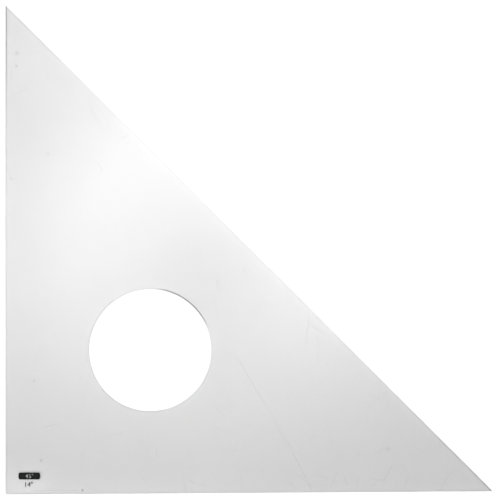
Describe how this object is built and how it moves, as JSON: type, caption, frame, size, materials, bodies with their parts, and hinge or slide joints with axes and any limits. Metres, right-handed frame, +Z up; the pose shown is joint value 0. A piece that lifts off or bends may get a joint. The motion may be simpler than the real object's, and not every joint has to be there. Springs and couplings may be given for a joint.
{
  "type": "drafting triangle",
  "caption": "Clear acrylic 45 degree drafting triangle: a thin flat right-angled sheet with a large round finger hole and a small printed mark.",
  "frame": {"origin": "middle of the square that the two legs span, on the underside: the middle of the long edge", "axes": "+Z up out of the printed face; +X along the base leg and +Y along the upright leg, both away from the right-angled corner"},
  "size_m": [0.3556, 0.3556, 0.0021],
  "materials": {
    "clear_acrylic": "clear, polished faces, finely machined edges",
    "black_ink": "satin screen print"
  },
  "bodies": {
    "root": {"acrylic_blade": "clear_acrylic", "printed_badge": "black_ink"}
  },
  "joints": []
}
